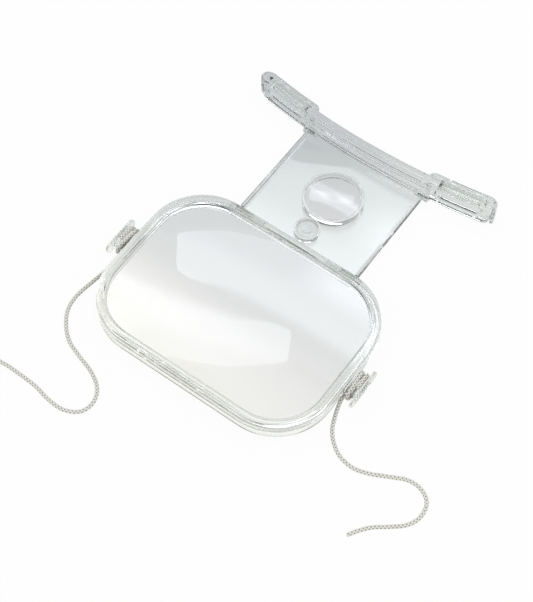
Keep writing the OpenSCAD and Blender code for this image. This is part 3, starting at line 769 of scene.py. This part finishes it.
class MAGNIFIER_OT_bar(bpy.types.Operator):
    """Builds the curved chest bar with its windows, front lines and hinge lugs"""

    bl_idname = "magnifier.bar"
    bl_label = "Chest bar"

    def execute(self, context):
        corners = [(0, 0), (0, BAR_H), (BAR_T, BAR_H), (BAR_T, 0)]
        section = eased(corners, [0.7, 0.9, 0.8, 0.7], steps=8)
        # More points where the grooves are in front and where the back leans in at its foot
        z = np.linspace(3.8, 14.8, 111)
        corner = np.flatnonzero(section[:, 1] > BAR_H / 2)[0]
        section = np.insert(section, corner, stacked(0 * z, z), axis=0)
        foot = np.flatnonzero((section[:, 0] > BAR_T / 2) & (section[:, 1] < BAR_H / 2))[0]
        back = np.array([6.0, 2.7, 2.6, 2.5, 1.7])
        section = np.insert(section, foot, stacked(0 * back + BAR_T, back), axis=0)
        behind = section[:, 0] > BAR_T / 2
        flute = np.where(behind, -0.25 * np.clip((section[:, 1] - 0.7) / 1.9, 0, 1), 0)
        away = np.abs(z[:, None] - GROOVES)
        flute[corner : corner + len(z)] = (0.2 * np.clip(1 - away / 0.4, 0, 1)).sum(1)
        x = joined(np.arange(0, 73, 0.6), np.linspace(73.1, 77.4, 26), BAR_HALF - RIM_STEPS)
        inset = joined(np.zeros(len(x) - len(RIM_STEPS)), RIM_INSETS)
        x = joined(-x[:0:-1], x)[:, None]
        inset = joined(inset[:0:-1], inset)[:, None]
        fade = np.clip((45 - np.abs(x)) / 3, 0, 1)
        past = np.clip(np.abs(x) - (BAR_HALF - BAR_CORNER), 0, BAR_CORNER)
        half = BAR_H / 2 - (BAR_CORNER - np.sqrt(BAR_CORNER**2 - past**2))
        depth = section[None, :, 0] + fade**2 * (3 - 2 * fade) * flute
        rise = (section[None, :, 1] - BAR_H / 2) / (BAR_H / 2) * half
        depth = BAR_T / 2 + (depth - BAR_T / 2) * np.clip(1 - inset / (BAR_T / 2), 0, 1)
        rise = rise * np.clip(1 - inset / half, 0, 1)
        y = bar_front(x) + (bar_front(x, BAR_R - BAR_T) - bar_front(x)) * depth / BAR_T
        grid = stacked(np.broadcast_to(x, y.shape), y, BAR_H / 2 + rise)
        piece = make_piece("bar_strip", [skin(grid, around=True)])

        combine(piece, rods(LUG_Y, NOTCH_X - 0.02, 42.65, LUG_R, 0.4), "UNION")
        combine(piece, rods(LUG_Y, 33.65, NOTCH_X, LUG_R, 0.02), "DIFFERENCE")
        # The windows flare where they meet the bar's faces
        windows = []
        window = rounded_outline(WINDOW_HALF, WINDOW_RISE, WINDOW_R)
        reach = lengths(window)
        steps = np.array([-1.5, 0.0, 0.05, 0.15, 0.3, 0.45, 4.85, 5.0, 5.15, 5.25, 5.3, 6.8])
        near = np.clip(WINDOW_EASE - np.minimum(steps, BAR_T - steps), 0, WINDOW_EASE)
        flare = WINDOW_EASE - np.sqrt(np.clip(WINDOW_EASE**2 - near**2, 0, None))
        flat = np.array([0 * window, *(window * (1 + e / reach) for e in flare), 0 * window])
        depths = np.r_[steps[0], steps, steps[-1]][:, None]
        for side, _ in SIDES:
            wx = flat[..., 0] + side * WINDOW_X
            wy = bar_front(wx) + depths
            windows.append(skin(stacked(wx, wy, BAR_H / 2 + flat[..., 1]), around=True))
        combine(piece, windows, "DIFFERENCE")
        combine(piece, rods(LUG_Y, NOTCH_X - 0.3, 42.25, 0.85, 0.02), "DIFFERENCE")
        dress(piece, clear_acrylic(), "bar", "clear_acrylic", "chest_bar")
        return {"FINISHED"}


def pad_section():
    """The pad's section as distances behind the bar and heights: flat against the bar, a crowned
    back with three broad ribs in a cosine wave, rounded corners, and fine ribs along the top."""
    low, high, ease = PAD_LOW, BAR_H, PAD_EASE
    t = np.linspace(0, 1, 73)
    z = low + ease + (high - low - 2 * ease) * t
    crown = PAD_T - 0.4 * ((2 * z - high - low) / (high - low)) ** 2
    back = crown - 0.35 * (0.5 - 0.5 * np.cos(2 * math.pi * 3 * t))
    a = np.linspace(0, math.pi / 2, 7)[1:-1]
    foot = stacked(back[0] - ease + ease * np.sin(a), low + ease - ease * np.cos(a))
    head = stacked(back[-1] - ease + ease * np.cos(a), high - ease + ease * np.sin(a))
    d = np.linspace(back[-1] - ease, 0.12, 25)
    top = stacked(d, high - 0.15 * (0.5 - 0.5 * np.cos(2 * math.pi * d / 1.2)))
    under = stacked(np.linspace(0, back[0] - ease, 6), np.full(6, low))
    inner = stacked(np.zeros(8), np.linspace(high - 0.1, low + 0.3, 8))
    return joined(under, foot, stacked(back, z), head, top, inner)


class MAGNIFIER_OT_pads(bpy.types.Operator):
    """Builds the soft ribbed pads behind the bar's ends, with plugs through the windows"""

    bl_idname = "magnifier.pads"
    bl_label = "Pads"

    def execute(self, context):
        section = pad_section()
        # The pad's outer line and its line against the bar, along the bar and behind it: a
        # rounded start, a straight run, and a tip that bends round the bar's end
        a = np.radians(np.linspace(9, 90, 14))
        start = stacked(PAD_NEAR - PAD_T * np.cos(a), PAD_T * np.sin(a))
        run = np.linspace(42.6, 72.5, 30)
        middle = stacked(run, np.full(30, PAD_T))
        b = np.radians(np.linspace(90, 0, 22))
        tip = stacked(PAD_BEND + 7 * np.cos(b), -PAD_T + 7 * np.sin(b))
        cross = PAD_BEND + PAD_T / np.maximum(np.tan(b), 1e-6)
        tip_in = np.where(
            (cross <= PAD_END)[:, None],
            stacked(cross, np.zeros(22)),
            stacked(np.full(22, PAD_END), np.minimum(-PAD_T + 4.98 * np.tan(b), 0)),
        )
        drop = np.array([(0, 0.25), (0, 0.4), (0, 0.4)])
        outer = joined(start[:1], start, middle, tip, tip[-1:] - drop)
        inner = joined(start[:1], start, middle) * (1, 0)
        inner = joined(inner, tip_in, tip_in[-1:] - drop)
        size = np.ones(len(outer))
        size[1:15] = 1 - 0.16 * (1 - np.sin(a)) ** 2
        size[-3:] = 0.97, 0.9, 0.0
        size[0] = 0
        pinch = np.where(size > 0, 1, 0)[:, None, None]
        share = 0.5 + (section[None, :, :1] / PAD_T - 0.5) * pinch
        flat = inner[:, None] + (outer - inner)[:, None] * share
        z = BAR_H / 2 + (section[None, :, 1] - BAR_H / 2) * size[:, None]
        x = flat[..., 0]
        y = bar_front(np.clip(x, 0, 90), BAR_R - BAR_T - 0.05) + flat[..., 1]
        # The plug in the window: insets from its outline, and depths behind the bar's front
        plug = rounded_outline(WINDOW_HALF - 0.3, WINDOW_RISE - 0.3, WINDOW_R - 0.3)
        span = lengths(plug)
        inset = np.array([99, 0.6, 0.3, 0.09, 0, 0, 99])[:, None, None]
        depth = np.array([1.0, 1.0, 1.03, 1.12, 1.35, 6.2, 6.2])[:, None]
        rows = plug * np.clip(1 - inset / span, 0, 1)
        px = rows[..., 0] + WINDOW_X
        py = bar_front(px) + depth
        for side, name in SIDES:
            grid = stacked(side * x, y, z)
            piece = make_piece(name + "_soft_pad", [skin(grid, around=True)], 50.0)
            grid = stacked(side * px, py, BAR_H / 2 + rows[..., 1])
            combine(piece, [skin(grid, around=True)], "UNION", 50.0)
            dress(piece, soft_vinyl(), "bar", "soft_vinyl", name + "_pad")
        return {"FINISHED"}


class MAGNIFIER_OT_cleats(bpy.types.Operator):
    """Builds the two cleats: a core for the cord, its stop, and a ribbed flange outside it"""

    bl_idname = "magnifier.cleats"
    bl_label = "Cleats"

    def execute(self, context):
        section = eased([(0.0, -1.0), (FLANGE_T, -1.0), (FLANGE_T, 1.0), (0.0, 1.0)], 0.35)
        y = np.linspace(-11.9, 11.9, 239)
        past = np.clip(np.abs(y) - (FLANGE_HALF - FLANGE_R), 0, FLANGE_R - 0.01)
        half = FLANGE_RISE - (FLANGE_R - np.sqrt(FLANGE_R**2 - past**2))
        near = np.abs((y + 1) % 2 - 1)
        groove = np.where(np.abs(y) < 9.6, np.clip((0.5 - near) / 0.22, 0, 1), 0)
        size = np.ones_like(y)
        y = joined([-FLANGE_HALF, -FLANGE_HALF], y, [FLANGE_HALF, FLANGE_HALF])
        half = joined([0.0, 0.5], half, [0.5, 0.0])
        groove = joined([0, 0], groove, [0, 0])
        size = joined([0, 0.8], size, [0.8, 0])
        x = 0.8 + (section[None, :, 0] - 0.8) * size[:, None]
        x = x - 0.4 * groove[:, None] * (section[None, :, 0] > 0.8)
        z = section[None, :, 1] * half[:, None]
        wide = np.broadcast_to(y[:, None], z.shape)
        core = rounded_outline((CORE_L + 3.8) / 2, 1.9, 1.85) + (0, CORE_Z)
        for side, name in SIDES:
            grid = stacked(side * (FLANGE_X + x), wide, FLANGE_Z + z)
            piece = make_piece(name + "_cleat_flange", [skin(grid, around=True)])
            foot, end = side * (WALL_X + 0.02), side * CORE_END
            combine(piece, [prism(core, (0, CORE_Z), foot, end)], "UNION")
            near, far = sorted((side * STOP_IN, side * STOP_OUT))
            stop = block((near, STOP_NEAR, CORE_Z), (far, STOP_FAR, STOP_TOP))
            combine(piece, [stop], "UNION")
            dress(piece, clear_acrylic(), "frame", "clear_acrylic", name + "_cleat")
        return {"FINISHED"}


class MAGNIFIER_OT_cords(bpy.types.Operator):
    """Builds the neck cord: a winding round each cleat and a free stretch on the table"""

    bl_idname = "magnifier.cords"
    bl_label = "Cord"

    def execute(self, context):
        finish = braided_cord(colours().cord_light, colours().cord_hollow_shade)
        exit_y, exit_z = -CORE_L / 2 - CORD_D, CORE_Z - WIND_R
        for (side, name), way in zip(SIDES, (LEFT_WAY, RIGHT_WAY)):
            piece = cord_shape(name + "_cord_turns", wound_line(side), (1, 0, 0))
            dress(piece, finish, "frame", "braided_cord", name + "_winding")
            points = [(side * LANE_IN, exit_y, exit_z), (side * LANE_IN, exit_y - CORD_D, exit_z)]
            points += [(px, py, LAY_Z) for px, py in way]
            path = spline(points, 0.25)
            piece = cord_shape(name + "_free_cord", path, (0, 0, 1))
            dress(piece, finish, "frame", "braided_cord", name + "_cord")
        return {"FINISHED"}


class MAGNIFIER_OT_pins(bpy.types.Operator):
    """Gives the four hinge pins their steel"""

    bl_idname = "magnifier.pins"
    bl_label = "Hinge pins"

    def execute(self, context):
        steel = steel_pin()
        for name in ("left_frame_pin", "right_frame_pin", "left_bar_pin", "right_bar_pin"):
            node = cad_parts[name]
            node.data.materials.clear()
            node.data.materials.append(steel)
        return {"FINISHED"}


# Stage


def panel(name, near, far, soft, height, strength, colour, level=None):
    """A lamp panel that faces down, between a near and a far edge given as points round the
    lens. Each edge is evened out along its length, and the panel is drawn straight between
    them. Its light fades in over the soft width about the near edge, and may follow a level
    given over the panel's plane."""
    edges = [evened(np.array(edge, float), 120) for edge in (near, far)]
    across = edges[1] - edges[0]
    across = across / lengths(across)
    # The soft edge narrows towards the left
    width = np.interp(edges[0][:, 0], [-520, -380], [4, soft])[:, None]
    t = np.linspace(-1, 1, 9)
    rows = [edges[0] + across * width * k for k in t]
    rows += [rows[-1] + (edges[1] - rows[-1]) * k for k in np.linspace(0, 1, 25)[1:]]
    grid = np.array(rows)
    glow = np.append((t + 1) ** 2 * (2 - t) / 4, np.ones(24))
    glow = glow[:, None] * (level(grid[..., 0], grid[..., 1]) if level else 1 + 0 * grid[..., 0])
    piece = make_piece(name, [skin(at_height(grid, height))], values={"glow": glow}, weld=0)
    material, tree = new_material(name)
    lit = add(tree, "Attribute", attribute_name="glow").outputs["Fac"]
    shine = add(tree, "Emission", {"Color": linear(colour), "Strength": strength})
    mixed = add(tree, "MixShader", {0: lit, 1: add(tree, "BsdfTransparent"), 2: shine})
    add(tree, "OutputMaterial", {"Surface": mixed})
    piece.data.materials.append(material)
    piece.visible_camera = False
    return piece


def long_lamp_level(x, y):
    """Brightness over the long lamp: full along its near side and half as much towards its far
    side, with a bright stretch on the right that ends before the far edge."""
    far = np.interp(y, [560, 630], [0, 1])
    right = np.interp(x, [-320, -200], [0, 1])
    return (3.7 - 1.8 * far + 4.5 * np.interp(y, [580, 650, 680, 730], [0, 1, 1, 0]) * right) / 6.4


def ramp(tree, value, stops):
    """A colour ramp through stops of a place and an sRGB hex value."""
    made = add(tree, "ValToRGB", {"Fac": value})
    band = made.color_ramp
    while len(band.elements) < len(stops):
        band.elements.new(0.5)
    for element, (where, code) in zip(band.elements, stops):
        element.position = where
        element.color = (*linear(code), 1)
    return made


def light_path(tree):
    """The Light Path node, and 1 where a ray comes off or through something glossy or clear."""
    path = add(tree, "LightPath")
    seen = {0: path.outputs["Is Glossy Ray"], 1: path.outputs["Is Transmission Ray"]}
    return path, add(tree, "Math", seen, operation="MAXIMUM")


def paper_floor(scene):
    """The floor: paper white to the camera, and pale greys of painted shade in what the plastic
    shows, where the table's light falls off. They run with the distance to the near side, which
    counts for more towards the left."""
    mesh = bpy.data.meshes.new("floor")
    reach = 4.0
    corners = [(-reach, -reach, 0), (reach, -reach, 0), (reach, reach, 0), (-reach, reach, 0)]
    mesh.from_pydata(corners, [], [(0, 1, 2, 3)])
    floor = bpy.data.objects.new("floor", mesh)
    floor.location = (0, 0, -0.0001)
    scene.collection.objects.link(floor)
    material, tree = new_material("paper_floor")
    path, seen = light_path(tree)
    place = add(tree, "TexCoord").outputs["Object"]
    apart = add(tree, "SeparateXYZ", {"Vector": place}).outputs
    nearer = add(tree, "Math", {0: MID * MM, 1: apart["Y"]}, operation="SUBTRACT")
    lean = add(tree, "Math", {0: apart["X"], 1: -1 / 0.15, 2: 1.0}, operation="MULTIPLY_ADD")
    along = add(tree, "Math", {0: nearer, 1: lean}, operation="MULTIPLY")
    share = add(tree, "MapRange", {"Value": along, "From Min": -0.14, "From Max": 0.1})
    # Painted shade: the floor seen through the plastic darkens towards the back, as the table's
    # light falls off
    painted_falloff = ramp(tree, share, FLOOR_SHADE_STOPS)
    shown = add(tree, "Mix", {"Factor": seen, "A": (1, 1, 1), "B": painted_falloff}, data_type="RGBA")
    glow = add(tree, "Emission", {"Color": shown, "Strength": 1.0})
    paper = add(tree, "BsdfDiffuse", {"Color": linear("#F6F6F5")})
    mixed = add(tree, "MixShader", {0: 0.05, 1: glow, 2: paper})
    either = add(tree, "Math", {0: seen, 1: path.outputs["Is Camera Ray"]}, operation="MAXIMUM")
    last = add(tree, "MixShader", {0: either, 1: paper, 2: mixed})
    add(tree, "OutputMaterial", {"Surface": last})
    mesh.materials.append(material)


def surroundings(scene):
    """White to the camera, a sky of greys in what the plastic shows, and a pale even fill."""
    world = bpy.data.worlds.new("studio")
    scene.world = world
    world.use_nodes = True
    tree = world.node_tree
    tree.nodes.clear()
    path, seen = light_path(tree)
    way = add(tree, "TexCoord").outputs["Generated"]
    rise = add(tree, "SeparateXYZ", {"Vector": way}).outputs["Z"]
    sky = add(tree, "Background", {"Color": ramp(tree, rise, SKY_STOPS), "Strength": 1.0})
    fill = add(tree, "Background", {"Color": linear("#F7F8FA"), "Strength": 0.85})
    white = add(tree, "Background", {"Color": (1, 1, 1), "Strength": 1.0})
    first = add(tree, "MixShader", {0: seen, 1: fill, 2: sky})
    last = add(tree, "MixShader", {0: path.outputs["Is Camera Ray"], 1: first, 2: white})
    add(tree, "OutputWorld", {"Surface": last})


def photo_camera(scene):
    """A camera at the photograph's view: round to the right, and high above the table."""
    lens = bpy.data.cameras.new("studio_camera")
    lens.sensor_fit = "HORIZONTAL"
    lens.sensor_width = SENSOR_MM
    lens.lens = SENSOR_MM * FOCAL_PX / PHOTO_PX
    lens.clip_start, lens.clip_end = 0.01, 20.0
    camera = bpy.data.objects.new("studio_camera", lens)
    scene.collection.objects.link(camera)
    camera.location = to_row(VIEW_PLACE)
    camera.rotation_euler = (math.radians(90 - VIEW_RISE), 0, math.radians(VIEW_TURN))
    scene.camera = camera


class MAGNIFIER_OT_stage(bpy.types.Operator):
    """Sets up the pale floor, the lamp panels, the surroundings and the camera"""

    bl_idname = "magnifier.stage"
    bl_label = "Studio"

    def execute(self, context):
        scene = context.scene
        scene.view_settings.view_transform = "Standard"
        # Light crosses and turns inside clear plastic many times before it leaves
        scene.cycles.max_bounces = 24
        scene.cycles.transmission_bounces = 24
        scene.cycles.glossy_bounces = 14

        paper_floor(scene)
        # The long lamp behind and above, whose edges show in the lenses and the plate
        near = [(-583, 486), (-562, 466), (-514, 460), (-472, 467), (-434, 478), (-347, 487)]
        near += [(-200, 490), (350, 500)]
        far = [(-655, 578), (-645, 597), (-600, 632), (-545, 665), (-487, 685), (-430, 698)]
        far += [(-373, 728), (-340, 744), (-290, 752), (350, 752)]
        panel("long_lamp", near, far, 28, 1000, colours().lamp_strength, "#F2F7FF", long_lamp_level)
        near, far = [(-100, -450), (900, -450)], [(-100, 60), (900, 60)]
        panel("overhead_lamp", near, far, 60, 1300, 0.9, "#FFFFFF")
        # A dark card beyond the lamp, which gives the bar and the rims their dark lines
        near = [(-675, 560), (-655, 610), (-600, 652), (-545, 685), (-487, 705), (-373, 748)]
        near += [(-330, 760), (350, 762)]
        far = [(-1000, 700), (-940, 900), (-800, 1100), (-650, 1200), (-500, 1300), (-400, 1350)]
        far += [(-300, 1400), (350, 1450)]
        panel("dark_card", near, far, 4, 1001, 0.05, "#F2E8E0")

        surroundings(scene)
        photo_camera(scene)
        return {"FINISHED"}


class MAGNIFIER_PT_panel(bpy.types.Panel):
    """Lists the steps that build the magnifier"""

    bl_idname = "MAGNIFIER_PT_panel"
    bl_label = "Neck magnifier"
    bl_space_type = "VIEW_3D"
    bl_region_type = "UI"
    bl_category = "Magnifier"

    def draw(self, context):
        layout = self.layout
        for group in (context.scene.magnifier_sizes, context.scene.magnifier_colours):
            for key in group.bl_rna.properties.keys():
                if key not in ("rna_type", "name"):
                    layout.prop(group, key)
        for step in STEPS:
            layout.operator(step.bl_idname)


STEPS = (
    MAGNIFIER_OT_stage,
    MAGNIFIER_OT_cords,
    MAGNIFIER_OT_frame,
    MAGNIFIER_OT_lenses,
    MAGNIFIER_OT_plate,
    MAGNIFIER_OT_bar,
    MAGNIFIER_OT_pads,
    MAGNIFIER_OT_cleats,
    MAGNIFIER_OT_pins,
)
CLASSES = (MagnifierSizes, MagnifierColours, *STEPS, MAGNIFIER_PT_panel)


def register():
    for item in CLASSES:
        bpy.utils.register_class(item)
    bpy.types.Scene.magnifier_sizes = bpy.props.PointerProperty(type=MagnifierSizes)
    bpy.types.Scene.magnifier_colours = bpy.props.PointerProperty(type=MagnifierColours)


def unregister():
    del bpy.types.Scene.magnifier_colours
    del bpy.types.Scene.magnifier_sizes
    for item in reversed(CLASSES):
        bpy.utils.unregister_class(item)


def main():
    register()
    for step in STEPS:
        group, name = step.bl_idname.split(".")
        getattr(getattr(bpy.ops, group), name)()


if __name__ == "__main__":
    main()
